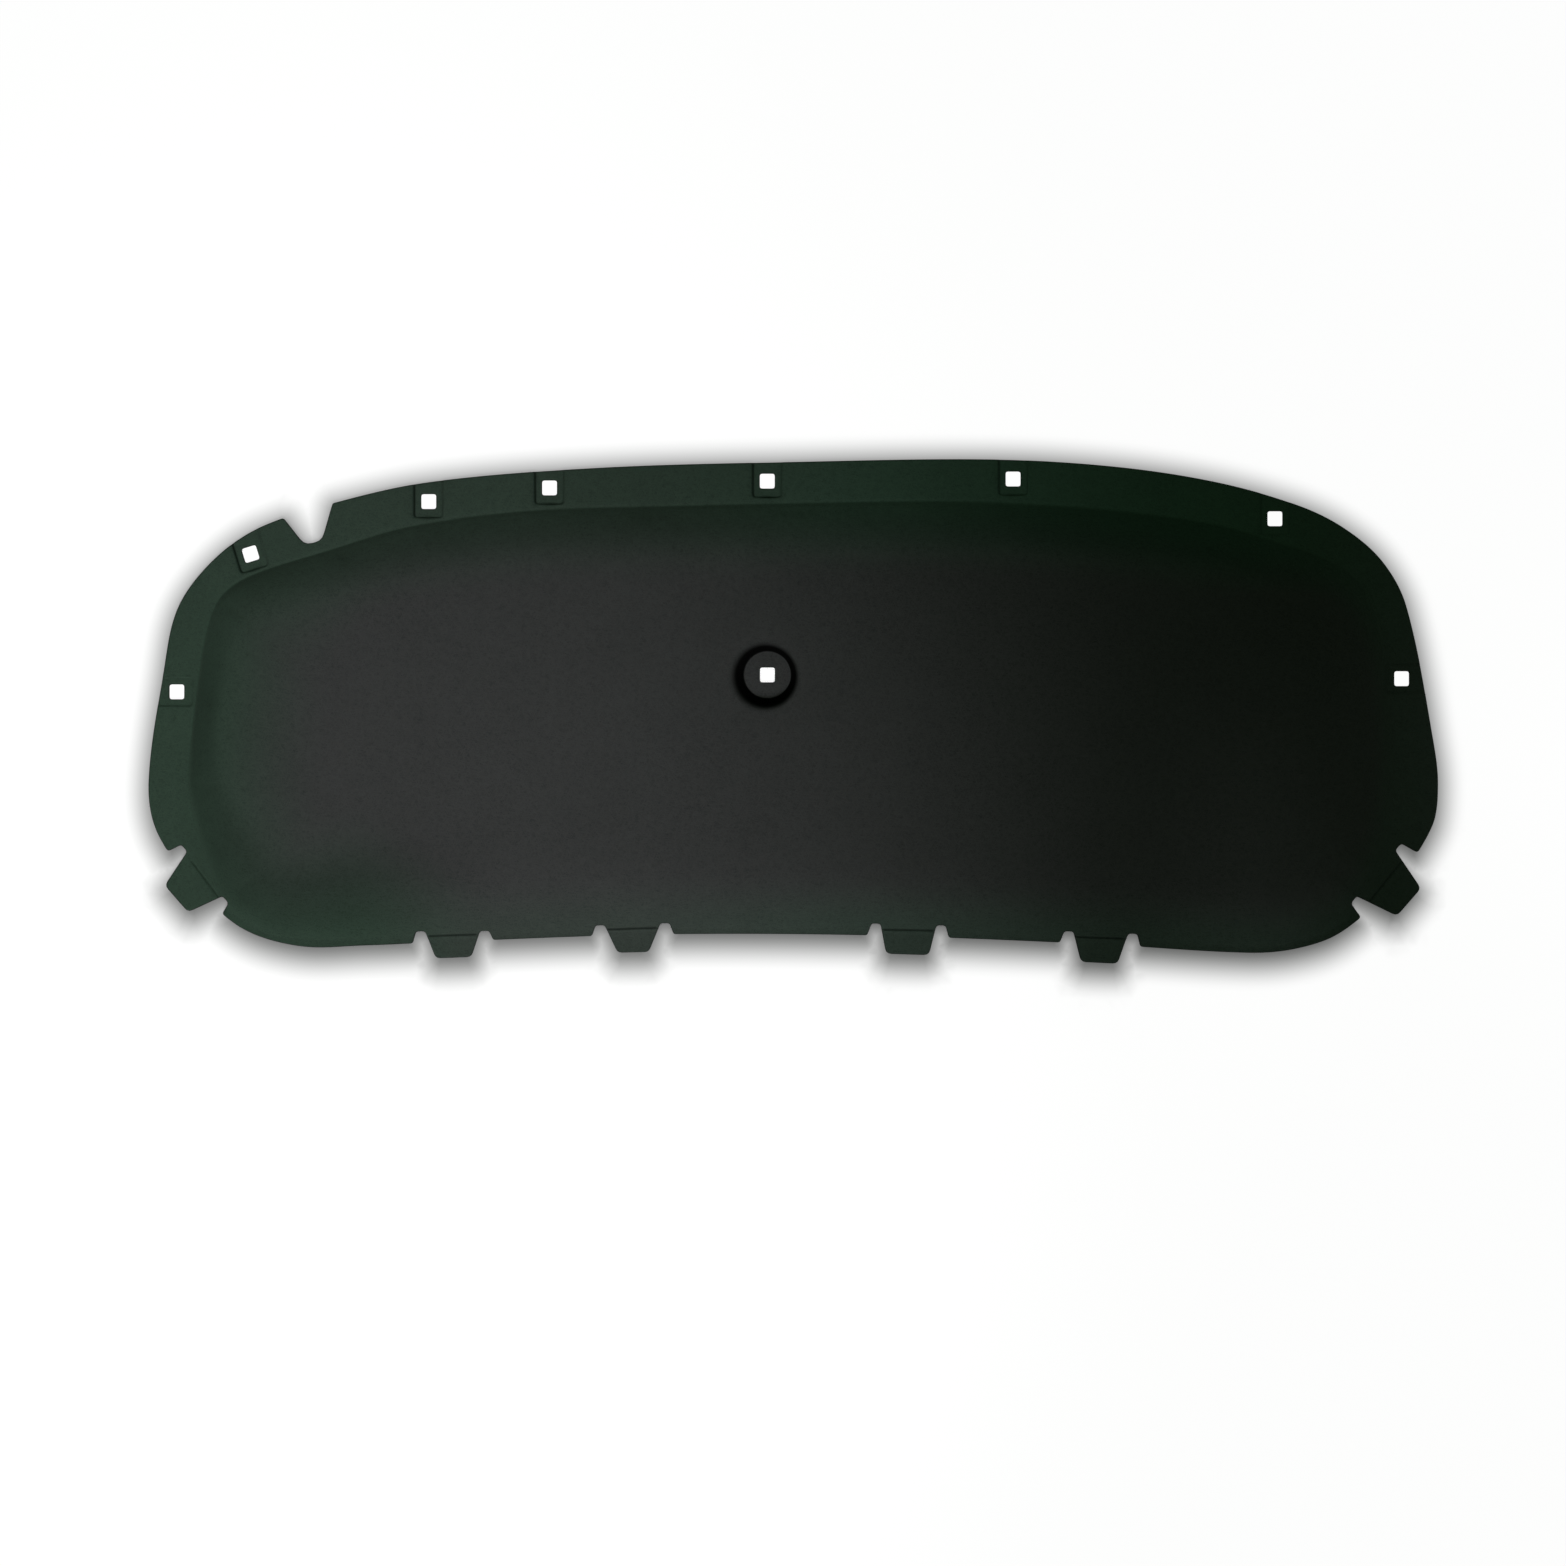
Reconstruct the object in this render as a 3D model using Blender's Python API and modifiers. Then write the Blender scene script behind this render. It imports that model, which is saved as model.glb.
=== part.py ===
"""Hood insulation pad: one press-moulded fibre sheet with a lofted middle and a thin clipped rim.

Metres, +Z up. The pad lies on its flat back with its show face up: +X runs across the car, +Y towards
the windscreen edge, and the origin is on the back, under the middle of the pad.
"""

import bisect
import math

import bmesh
import bpy
from mathutils import Matrix, Vector
from mathutils.geometry import interpolate_bezier

# Overall sizes
PAD_WIDTH = 1.200
TOP_EDGE_HEIGHT = 0.2348
BOTTOM_EDGE_HEIGHT = 0.2243
PAD_THICKNESS = 0.018
FLANGE_THICKNESS = 0.0035

# The edge line, clockwise from the left side: each point as a share of the half width from the middle,
# and as a share of the top or the bottom edge's height from the middle line.
EDGE_SHAPE = [
    (-1.000, -0.290), (-0.977, 0.154), (-0.955, 0.409), (-0.903, 0.593), (-0.833, 0.724), (-0.715, 0.826),
    (-0.563, 0.911), (-0.300, 0.967), (0.000, 0.990), (0.308, 1.000), (0.500, 0.971), (0.658, 0.909),
    (0.783, 0.818), (0.853, 0.730), (0.913, 0.598), (0.951, 0.417), (0.993, -0.125), (1.000, -0.312),
    (0.990, -0.481), (0.928, -0.727), (0.850, -0.914), (0.783, -0.981), (0.708, -1.000), (0.475, -0.965),
    (0.178, -0.932), (-0.033, -0.922), (-0.250, -0.926), (-0.533, -0.954), (-0.667, -0.970),
    (-0.767, -0.972), (-0.858, -0.894), (-0.930, -0.713), (-0.987, -0.499),
]
EDGE_STEP = 0.014
MEASURE_STEP = 0.002

# The pressed rim and the raised middle
FLANGE_LEFT = 0.033
FLANGE_TOP = 0.038
FLANGE_RIGHT = 0.041
LIP_BOTTOM = 0.0085
SHOULDER_WIDTH = 0.038
SHOULDER_WIDTH_BOTTOM = 0.056
SHOULDER_RINGS = 7
BODY_SEAT_DEPTH = 0.0010
BODY_STEP = 0.022

# Clip holes and the shallow seats pressed round them
HOLE_SIZE = 0.0138
HOLE_CORNER_RADIUS = 0.0022
SEAT_WIDTH = 0.0276
SEAT_REACH_IN = 0.0158
SEAT_DEPTH = 0.0012
SEAT_CORNER_RADIUS = 0.0040
# Side that the hole sits at, its place along that side as a share, its distance in from the edge
# straight across the rim, and its turn in degrees.
RIM_CLIPS = [
    ("left", 0.090, 0.0151, 90.0),
    ("top", -0.858, 0.0174, 17.0),
    ("top", -0.570, 0.0178, 0.0),
    ("top", -0.380, 0.0158, 0.0),
    ("top", -0.041, 0.0172, 0.0),
    ("top", 0.342, 0.0176, 0.0),
    ("top", 0.757, 0.0186, 0.0),
    ("right", 0.146, 0.0190, -90.0),
]

# The clip pocket pinched into the middle
POCKET_X = -0.0241
POCKET_Y = 0.0343
POCKET_FLOOR_DIAMETER = 0.044
POCKET_MOUTH_DIAMETER = 0.064
POCKET_FLOOR_THICKNESS = 0.0040

# The notch in the upper left rim
NOTCH_PLACE = -0.753
NOTCH_MOUTH = 0.0478
NOTCH_FLOOR = 0.0165
NOTCH_DEPTH = 0.0305
NOTCH_LEAN = 0.0035
NOTCH_FLOOR_RADIUS = 0.0110

# Edge tabs, clockwise from the right corner: side, place along it as a share, root width, tip width,
# reach past the edge line, and the depths of the relief cuts before and after the root.
TABS = [
    ("right", -0.727, 0.0560, 0.0340, 0.0215, 0.0198, 0.0195),
    ("bottom", 0.476, 0.0510, 0.0340, 0.0172, 0.0115, 0.0108),
    ("bottom", 0.178, 0.0520, 0.0400, 0.0168, 0.0113, 0.0111),
    ("bottom", -0.249, 0.0520, 0.0290, 0.0162, 0.0103, 0.0097),
    ("bottom", -0.528, 0.0510, 0.0330, 0.0150, 0.0088, 0.0108),
    ("left", -0.713, 0.0530, 0.0330, 0.0215, 0.0127, 0.0150),
]
RELIEF_WIDTH = 0.0120
RELIEF_FLOOR = 0.0085
RELIEF_RADIUS = 0.0035
TAB_TIP_RADIUS = 0.0060
LIP_RADIUS = 0.0030
TAB_CREASE_INSET = 0.0062
TAB_CREASE_WIDTH = 0.0026
TAB_CREASE_DEPTH = 0.0010

# The sheet that the pad is cut from
BLANK_MARGIN = 0.0450
BLANK_STEP = 0.0250

# How far the tools overshoot, and how finely the round shapes are divided
CUT_MARGIN = 0.0100
WELD_DISTANCE = 0.00001
ARC_STEPS = 3
LONGEST_ROUND = 0.48
POCKET_STEPS = 48
POCKET_FLANK_STEPS = 5
SHARP_ANGLE = 32.0

HALF_WIDTH = PAD_WIDTH / 2
SPINE_END = HALF_WIDTH - (TOP_EDGE_HEIGHT + BOTTOM_EDGE_HEIGHT) / 2


def at_share(across, up):
    """A place on the pad from its shares of the half width and of the top or bottom edge's height."""
    height = TOP_EDGE_HEIGHT if up > 0 else BOTTOM_EDGE_HEIGHT
    return Vector((across * HALF_WIDTH, up * height))


def smooth_loop(corners, step):
    """Points about a step apart on the smooth closed curve through the corners."""
    count = len(corners)
    points = []
    for i in range(count):
        before, start, end, after = (corners[(i + k) % count] for k in (-1, 0, 1, 2))
        handle = (end - start).length / 3
        leave = start + (end - before).normalized() * handle
        arrive = end - (after - start).normalized() * handle
        pieces = max(1, round((end - start).length / step))
        points += interpolate_bezier(start, leave, arrive, end, pieces + 1)[:-1]
    return [Vector((point[0], point[1])) for point in points]


class EdgeLine:
    """The pad's plain edge, without notch and tabs, as a closed line that is measured along."""

    def __init__(self, corners, step):
        self.points = smooth_loop(corners, step)
        self.arcs = [0.0]
        for here, ahead in zip(self.points, self.points[1:] + self.points[:1]):
            self.arcs.append(self.arcs[-1] + (ahead - here).length)
        self.length = self.arcs.pop()

    def at(self, arc):
        """The point at a distance along the line, the way along there and the way out of the pad."""
        arc %= self.length
        i = bisect.bisect_right(self.arcs, arc) - 1
        here = self.points[i]
        ahead = self.points[(i + 1) % len(self.points)]
        along = (ahead - here).normalized()
        return here + along * (arc - self.arcs[i]), along, Vector((-along.y, along.x))

    def find(self, side, share):
        """How far along the line a side's place lies: a share of the half width or of the height."""
        axis = 0 if side in ("top", "bottom") else 1
        sign = 1 if side in ("top", "right") else -1
        goal = at_share(share, share)[axis]
        for arc, here, ahead in zip(self.arcs, self.points, self.points[1:] + self.points[:1]):
            crosses = min(here[axis], ahead[axis]) <= goal < max(here[axis], ahead[axis])
            if crosses and here[1 - axis] * sign > 0:
                return arc + (ahead - here).length * (goal - here[axis]) / (ahead[axis] - here[axis])
        raise ValueError("no edge at " + side)

    def stretch(self, start, end, step):
        """Points between two distances along the line, both ends left out."""
        pieces = max(2, round((end - start) / step))
        return [self.at(start + (end - start) * i / pieces)[0] for i in range(1, pieces)]


def round_off(before, corner, after, radius):
    """The few points that round one corner of an outline off."""
    to_before = before - corner
    to_after = after - corner
    half_angle = to_before.angle(to_after) / 2
    longest = min(to_before.length, to_after.length) * LONGEST_ROUND
    cut_back = min(radius / math.tan(half_angle), longest)
    start = corner + to_before.normalized() * cut_back
    end = corner + to_after.normalized() * cut_back
    shares = [i / ARC_STEPS for i in range(ARC_STEPS + 1)]
    return [start * (1 - t) ** 2 + corner * 2 * t * (1 - t) + end * t ** 2 for t in shares]


def rounded_run(corners, radii):
    """An open run of corners with each inner one rounded off by the radius given for it."""
    points = [corners[0]]
    for before, corner, after, radius in zip(corners, corners[1:], corners[2:], radii):
        points += round_off(before, corner, after, radius)
    return points + [corners[-1]]


def tab_shape(root, tip, reach, relief_before, relief_after):
    """A tab between its two relief cuts: corners as (along, out), and the radius of each."""
    corners = [
        (-root / 2 - RELIEF_WIDTH, 0.0),
        (-root / 2 - RELIEF_FLOOR, -relief_before),
        (-root / 2, -relief_before),
        (-tip / 2, reach),
        (tip / 2, reach),
        (root / 2, -relief_after),
        (root / 2 + RELIEF_FLOOR, -relief_after),
        (root / 2 + RELIEF_WIDTH, 0.0),
    ]
    radii = [LIP_RADIUS, RELIEF_RADIUS, RELIEF_RADIUS, TAB_TIP_RADIUS]
    return corners, radii + radii[::-1]


def notch_shape():
    """The mouth and the floor of the rim's notch, the floor a little back along the edge."""
    corners = [
        (-NOTCH_MOUTH / 2, 0.0),
        (-NOTCH_FLOOR / 2 - NOTCH_LEAN, -NOTCH_DEPTH),
        (NOTCH_FLOOR / 2 - NOTCH_LEAN, -NOTCH_DEPTH),
        (NOTCH_MOUTH / 2, 0.0),
    ]
    return corners, [LIP_RADIUS, NOTCH_FLOOR_RADIUS, NOTCH_FLOOR_RADIUS, LIP_RADIUS]


def placed_shape(line, arc, shape):
    """A tab or notch set on the edge line: where it starts and ends along the line, and its points."""
    corners, radii = shape
    centre, along, out = line.at(arc)
    inner = [centre + along * u + out * v for u, v in corners[1:-1]]
    lips = [line.at(arc + corners[0][0])[0], line.at(arc + corners[-1][0])[0]]
    start = arc + corners[0][0] - LIP_RADIUS * 2
    end = arc + corners[-1][0] + LIP_RADIUS * 2
    run = [line.at(start)[0], lips[0]] + inner + [lips[1], line.at(end)[0]]
    return start, end, rounded_run(run, radii)


def pad_outline(line):
    """The whole edge: the plain line with the notch and the tabs set into it."""
    shapes = [placed_shape(line, line.find("top", NOTCH_PLACE), notch_shape())]
    for side, share, *sizes in TABS:
        shapes.append(placed_shape(line, line.find(side, share), tab_shape(*sizes)))
    shapes.sort(key=lambda shape: shape[0])
    outline = []
    for (start, end, points), following in zip(shapes, shapes[1:] + shapes[:1]):
        next_start = following[0] if following[0] > start else following[0] + line.length
        outline += points + line.stretch(end, next_start, EDGE_STEP)
    return outline


def blank_outline(line):
    """The edge of the sheet that the pad is cut from, a margin outside the plain line."""
    pieces = round(line.length / BLANK_STEP)
    spots = [line.at(line.length * i / pieces) for i in range(pieces)]
    return [point + out * BLANK_MARGIN for point, _, out in spots]


def side_blend(outward, left, right, top, bottom):
    """A width with its own value on each straight side, blended between two of them at a corner."""
    across = right if outward.x > 0 else left
    up = top if outward.y > 0 else bottom
    return across * outward.x ** 2 + up * outward.y ** 2


def from_spine(point):
    """The way out to an edge point from the long middle line that the rings shrink towards."""
    foot = Vector((max(-SPINE_END, min(SPINE_END, point.x)), 0.0))
    return (point - foot).normalized()


def collection(name):
    new = bpy.data.collections.new(name)
    bpy.context.scene.collection.children.link(new)
    return new


def object_from(work, name, home):
    mesh = bpy.data.meshes.new(name)
    work.to_mesh(mesh)
    work.free()
    obj = bpy.data.objects.new(name, mesh)
    home.objects.link(obj)
    return obj


def as_cutter(obj):
    obj.hide_render = True
    obj.display_type = "WIRE"
    return obj


def flat_plate(name, outline, low, high, home):
    """A flat plate of a drawn outline: a filled 2D curve extruded both ways, made a mesh."""
    curve = bpy.data.curves.new(name + "_outline", "CURVE")
    curve.dimensions = "2D"
    curve.fill_mode = "BOTH"
    curve.extrude = (high - low) / 2
    spline = curve.splines.new("POLY")
    spline.points.add(len(outline) - 1)
    for knot, point in zip(spline.points, outline):
        knot.co = (point.x, point.y, 0.0, 1.0)
    spline.use_cyclic_u = True
    drawn = bpy.data.objects.new(name + "_outline", curve)
    drawn.location.z = (low + high) / 2
    home.objects.link(drawn)
    bpy.context.view_layer.update()
    evaluated = drawn.evaluated_get(bpy.context.evaluated_depsgraph_get())
    work = bmesh.new()
    work.from_mesh(bpy.data.meshes.new_from_object(evaluated))
    bmesh.ops.remove_doubles(work, verts=work.verts, dist=WELD_DISTANCE)
    bmesh.ops.recalc_face_normals(work, faces=work.faces)
    plate = object_from(work, name, home)
    plate.matrix_world = drawn.matrix_world.copy()
    bpy.data.objects.remove(drawn)
    return plate


def raised_body(line, home):
    """The lofted middle: rings that climb from the crease over a rounded shoulder to the flat top."""
    work = bmesh.new()
    rings = []
    edge = line.stretch(0.0, line.length, BODY_STEP)
    for i in range(-1, SHOULDER_RINGS + 1):
        climb = max(i, 0) / SHOULDER_RINGS
        rise = (PAD_THICKNESS - FLANGE_THICKNESS) * math.sin(climb * math.pi / 2)
        height = FLANGE_THICKNESS + rise if i >= 0 else FLANGE_THICKNESS - BODY_SEAT_DEPTH
        ring = []
        for point in edge:
            outward = from_spine(point)
            rim = side_blend(outward, FLANGE_LEFT, FLANGE_RIGHT, FLANGE_TOP, LIP_BOTTOM)
            shoulder = side_blend(
                outward, SHOULDER_WIDTH, SHOULDER_WIDTH, SHOULDER_WIDTH, SHOULDER_WIDTH_BOTTOM
            )
            place = point - outward * (rim + shoulder * climb)
            ring.append(work.verts.new((place.x, place.y, height)))
        rings.append(ring)
    for lower, upper in zip(rings, rings[1:]):
        for k in range(len(edge)):
            after = (k + 1) % len(edge)
            work.faces.new((lower[k], lower[after], upper[after], upper[k]))
    work.faces.new(rings[0])
    work.faces.new(rings[-1])
    bmesh.ops.recalc_face_normals(work, faces=work.faces)
    return object_from(work, "raised_body", home)


def rectangle(centre, along, out, half_width, inner, outer, radius):
    """A rounded rectangle's closed outline: half width to both sides, and its two reaches."""
    reach = ((-half_width, -inner), (-half_width, outer), (half_width, outer), (half_width, -inner))
    corners = [centre + along * u + out * v for u, v in reach]
    points = []
    for i, corner in enumerate(corners):
        points += round_off(corners[i - 1], corner, corners[(i + 1) % 4], radius)
    return points


def clip_places(line):
    """Each rim clip hole: its centre, the way along its square and the way out to the edge."""
    places = []
    for side, share, edge_distance, turn in RIM_CLIPS:
        point, _, out = line.at(line.find(side, share))
        lean = math.radians(turn)
        square_out = Vector((-math.sin(lean), math.cos(lean)))
        square_along = Vector((math.cos(lean), math.sin(lean)))
        places.append((point - out * edge_distance, square_along, square_out, edge_distance))
    return places


def seat_cutters(line, home):
    """The shallow seats pressed round the rim holes, open to the edge."""
    for i, (centre, along, out, edge_distance) in enumerate(clip_places(line)):
        outline = rectangle(
            centre, along, out, SEAT_WIDTH / 2, SEAT_REACH_IN, edge_distance + CUT_MARGIN, SEAT_CORNER_RADIUS
        )
        low = FLANGE_THICKNESS - SEAT_DEPTH
        as_cutter(flat_plate("seat_press_%d" % (i + 1), outline, low, FLANGE_THICKNESS + CUT_MARGIN, home))


def hole_cutters(line, home):
    """The square punches of the rim holes and of the pocket's hole."""
    pocket = (Vector((POCKET_X, POCKET_Y)), Vector((1.0, 0.0)), Vector((0.0, 1.0)), 0.0)
    half = HOLE_SIZE / 2
    top = PAD_THICKNESS + CUT_MARGIN
    for i, (centre, along, out, _) in enumerate(clip_places(line) + [pocket]):
        outline = rectangle(centre, along, out, half, half, half, HOLE_CORNER_RADIUS)
        as_cutter(flat_plate("clip_punch_%d" % (i + 1), outline, -CUT_MARGIN, top, home))


def pocket_cutter(home):
    """The press tool of the pocket: a flat disc end, a rounded flank and a plain shank above."""
    floor_radius = POCKET_FLOOR_DIAMETER / 2
    mouth_radius = POCKET_MOUTH_DIAMETER / 2
    depth = PAD_THICKNESS - POCKET_FLOOR_THICKNESS
    shank_top = PAD_THICKNESS + CUT_MARGIN
    profile = [(0.0, shank_top), (mouth_radius, shank_top)]
    for i in range(POCKET_FLANK_STEPS + 1):
        turn = math.pi / 2 * i / POCKET_FLANK_STEPS
        run = mouth_radius - (mouth_radius - floor_radius) * math.sin(turn)
        profile.append((run, PAD_THICKNESS - depth * (1 - math.cos(turn))))
    profile.append((0.0, POCKET_FLOOR_THICKNESS))
    work = bmesh.new()
    knots = [work.verts.new((radius, 0.0, height)) for radius, height in profile]
    for here, ahead in zip(knots, knots[1:]):
        work.edges.new((here, ahead))
    tool = as_cutter(object_from(work, "pocket_press", home))
    tool.location = (POCKET_X, POCKET_Y, 0.0)
    turned = tool.modifiers.new("turned", "SCREW")
    turned.steps = POCKET_STEPS
    turned.render_steps = POCKET_STEPS
    turned.use_merge_vertices = True
    turned.merge_threshold = WELD_DISTANCE


def crease_cutters(line, home):
    """A shallow pressed line across the root of each tab, where the tab folds."""
    for i, (side, share, root, *_) in enumerate(TABS):
        point, along, out = line.at(line.find(side, share))
        centre = point - out * TAB_CREASE_INSET
        work = bmesh.new()
        bmesh.ops.create_cone(work, cap_ends=True, segments=4, radius1=1.0, radius2=1.0, depth=1.0)
        stretch = Matrix.Diagonal((TAB_CREASE_WIDTH / 2, TAB_CREASE_DEPTH, root, 1.0))
        axes = Matrix(((out.x, 0.0, along.x), (out.y, 0.0, along.y), (0.0, 1.0, 0.0))).to_4x4()
        place = Matrix.Translation((centre.x, centre.y, FLANGE_THICKNESS))
        bmesh.ops.transform(work, matrix=place @ axes @ stretch, verts=work.verts)
        bmesh.ops.recalc_face_normals(work, faces=work.faces)
        as_cutter(object_from(work, "tab_crease_%d" % (i + 1), home))


def fibre_material():
    material = bpy.data.materials.new("moulded_fibre")
    material.use_nodes = True
    shader = material.node_tree.nodes["Principled BSDF"]
    shader.inputs["Base Color"].default_value = (0.022, 0.030, 0.025, 1.0)
    shader.inputs["Roughness"].default_value = 0.85
    shader.inputs["Metallic"].default_value = 0.0
    return material


def boolean(target, operation, source):
    """A Boolean on the target with one object, or with every object of a collection in turn."""
    tools = source.objects if isinstance(source, bpy.types.Collection) else [source]
    for tool in tools:
        step = target.modifiers.new(tool.name, "BOOLEAN")
        step.operation = operation
        step.object = tool


def build():
    for old in list(bpy.data.objects):
        bpy.data.objects.remove(old)
    parts = collection("hood_insulation_pad")
    tools = collection("press_tools")
    shapes = collection("body_shapes")

    line = EdgeLine([at_share(across, up) for across, up in EDGE_SHAPE], MEASURE_STEP)
    pad = flat_plate("insulation_pad", blank_outline(line), 0.0, FLANGE_THICKNESS, parts)
    body = as_cutter(raised_body(line, shapes))
    die = flat_plate("edge_die", pad_outline(line), -CUT_MARGIN, PAD_THICKNESS + CUT_MARGIN, shapes)
    as_cutter(die)
    seat_cutters(line, tools)
    pocket_cutter(tools)
    crease_cutters(line, tools)
    hole_cutters(line, tools)
    boolean(pad, "UNION", body)
    boolean(pad, "INTERSECT", die)
    boolean(pad, "DIFFERENCE", tools)

    pad.data.materials.append(fibre_material())
    pad.data.shade_smooth()
    pad.data.set_sharp_from_angle(angle=math.radians(SHARP_ANGLE))


build()
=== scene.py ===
import math

import bpy
import numpy as np
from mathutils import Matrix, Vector, noise
from mathutils.geometry import delaunay_2d_cdt
from mathutils.kdtree import KDTree


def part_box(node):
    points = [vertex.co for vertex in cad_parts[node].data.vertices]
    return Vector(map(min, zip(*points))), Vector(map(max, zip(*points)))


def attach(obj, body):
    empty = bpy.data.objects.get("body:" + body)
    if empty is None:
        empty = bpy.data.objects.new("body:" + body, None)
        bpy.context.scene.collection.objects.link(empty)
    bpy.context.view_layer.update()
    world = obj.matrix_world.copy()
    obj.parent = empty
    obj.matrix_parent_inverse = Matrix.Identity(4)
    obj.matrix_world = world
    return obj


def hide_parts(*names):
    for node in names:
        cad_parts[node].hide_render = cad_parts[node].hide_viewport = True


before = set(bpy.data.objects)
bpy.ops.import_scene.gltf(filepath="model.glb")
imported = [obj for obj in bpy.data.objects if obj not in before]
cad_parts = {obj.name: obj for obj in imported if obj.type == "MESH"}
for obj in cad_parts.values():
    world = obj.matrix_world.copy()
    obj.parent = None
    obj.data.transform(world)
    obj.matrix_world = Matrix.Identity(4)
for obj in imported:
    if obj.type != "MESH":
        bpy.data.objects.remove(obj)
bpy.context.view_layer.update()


# The punched edge. The pad is cut out of its pressed blank with a steel-rule die: the rim line with its
# notch and tabs, and nine square clip holes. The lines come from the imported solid's flat back, and each
# is eased so that its short straight steps don't show.
OUTLINE_STEP = 0.0030
HOLE_STEP = 0.0012


def border_loops(mesh):
    """The closed lines round the flat back of a mesh, the longest first, each counter-clockwise."""
    mesh.calc_loop_triangles()
    places = [tuple(round(c, 6) for c in vertex.co) for vertex in mesh.vertices]
    sides = set()
    for triangle in mesh.loop_triangles:
        corners = [places[k] for k in triangle.vertices]
        if max(abs(corner[2]) for corner in corners) == 0.0:
            sides.update(zip(corners, corners[1:] + corners[:1]))
    follow = {start: end for start, end in sides if (end, start) not in sides}
    loops = []
    while follow:
        start, here = follow.popitem()
        loop = [start]
        while here != loop[0]:
            loop.append(here)
            here = follow.pop(here)
        loops.append(np.array(loop)[:, :2])
    loops.sort(key=len, reverse=True)
    return [loop if turning_area(loop) > 0 else loop[::-1] for loop in loops]


def turning_area(loop):
    ahead = np.roll(loop, -1, 0)
    return float((loop[:, 0] * ahead[:, 1] - loop[:, 1] * ahead[:, 0]).sum() / 2)


def eased_loop(corners, step):
    """Points about a step apart on a smooth closed curve, on which a long straight keeps its direction."""
    reach = np.roll(corners, -1, 0) - corners
    length = np.linalg.norm(reach, axis=1, keepdims=True)
    pull = reach * length
    tangent = pull + np.roll(pull, 1, 0)
    tangent /= np.linalg.norm(tangent, axis=1, keepdims=True)
    points = []
    for i, start in enumerate(corners):
        k = (i + 1) % len(corners)
        handle = length[i] / 3
        leave, arrive = start + tangent[i] * handle, corners[k] - tangent[k] * handle
        pieces = max(1, round(float(length[i, 0]) / step))
        for t in np.arange(pieces) / pieces:
            points.append(
                start * (1 - t) ** 3 + 3 * leave * t * (1 - t) ** 2
                + 3 * arrive * t ** 2 * (1 - t) + corners[k] * t ** 3
            )
    return np.array(points)


def moved_in(loop, inset):
    """A counter-clockwise loop moved towards its inside."""
    ahead = np.roll(loop, -1, 0) - loop
    ahead /= np.linalg.norm(ahead, axis=1, keepdims=True)
    along = ahead + np.roll(ahead, 1, 0)
    along /= np.linalg.norm(along, axis=1, keepdims=True)
    inward = np.stack([-along[:, 1], along[:, 0]], 1)
    mitre = np.clip((ahead * along).sum(1, keepdims=True), 0.6, 1.0)
    return loop + inward * inset / mitre


pad_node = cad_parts["insulation_pad"]
back_loops = border_loops(pad_node.data)
rim_line = eased_loop(back_loops[0], OUTLINE_STEP)
hole_lines = [eased_loop(loop, HOLE_STEP) for loop in back_loops[1:]]
hole_centres = np.array([(line.min(0) + line.max(0)) / 2 for line in hole_lines])


# The moulded form. The hot press squeezes the rim to a thin flange and leaves the middle lofted, with a
# sharp crease at the foot of the slope along the top and the sides, and a soft roll along the bottom.
FLANGE = 0.0035
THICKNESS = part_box("insulation_pad")[1].z
SHOULDER_TOP = 0.044
SHOULDER_SIDES = 0.026
SHOULDER_BOTTOM = 0.056
STRAIGHT_SHARE = 0.42
CREASE_FILLET = 0.0014
CREASE_FILLET_BOTTOM = 0.0050
CREASE_GROOVE = 0.0004
CREASE_GROOVE_WIDTH = 0.0016
# The foot of the slope, counter-clockwise from the left side.
CREASE_LINE = [
    (-0.5630, -0.0650), (-0.5555, -0.1120), (-0.5460, -0.1440), (-0.5330, -0.1745), (-0.5110, -0.1950),
    (-0.4820, -0.2085), (-0.4400, -0.2128), (-0.3200, -0.2090), (-0.1500, -0.2028), (-0.0200, -0.2018),
    (0.1070, -0.2040), (0.2850, -0.2115), (0.4250, -0.2192), (0.4680, -0.2150), (0.5050, -0.2005),
    (0.5310, -0.1770), (0.5460, -0.1480), (0.5555, -0.1120), (0.5590, -0.0700), (0.5560, -0.0200),
    (0.5520, 0.0400), (0.5430, 0.0900), (0.5250, 0.1240), (0.4940, 0.1440), (0.4470, 0.1600),
    (0.3893, 0.1760), (0.3000, 0.1880), (0.2000, 0.1945), (0.0993, 0.1958), (-0.1335, 0.1910),
    (-0.2520, 0.1865), (-0.3560, 0.1725), (-0.4300, 0.1508), (-0.4895, 0.1325), (-0.5190, 0.1190),
    (-0.5370, 0.1000), (-0.5480, 0.0650), (-0.5570, 0.0050),
]
crease = eased_loop(np.array(CREASE_LINE), 0.0025)
SPINE_END = 0.370


def smooth_step(low, high, value):
    t = np.clip((value - low) / (high - low), 0.0, 1.0)
    return t * t * (3 - 2 * t)


def inside(points, loops):
    """Whether each point lies inside the outline that the loops make, holes left out."""
    odd = np.zeros(len(points), bool)
    for loop in loops:
        for (x0, y0), (x1, y1) in zip(loop, np.roll(loop, -1, 0)):
            if y0 == y1:
                continue
            spans = (points[:, 1] < y0) != (points[:, 1] < y1)
            odd ^= spans & (points[:, 0] < x0 + (points[:, 1] - y0) * (x1 - x0) / (y1 - y0))
    return odd


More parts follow.
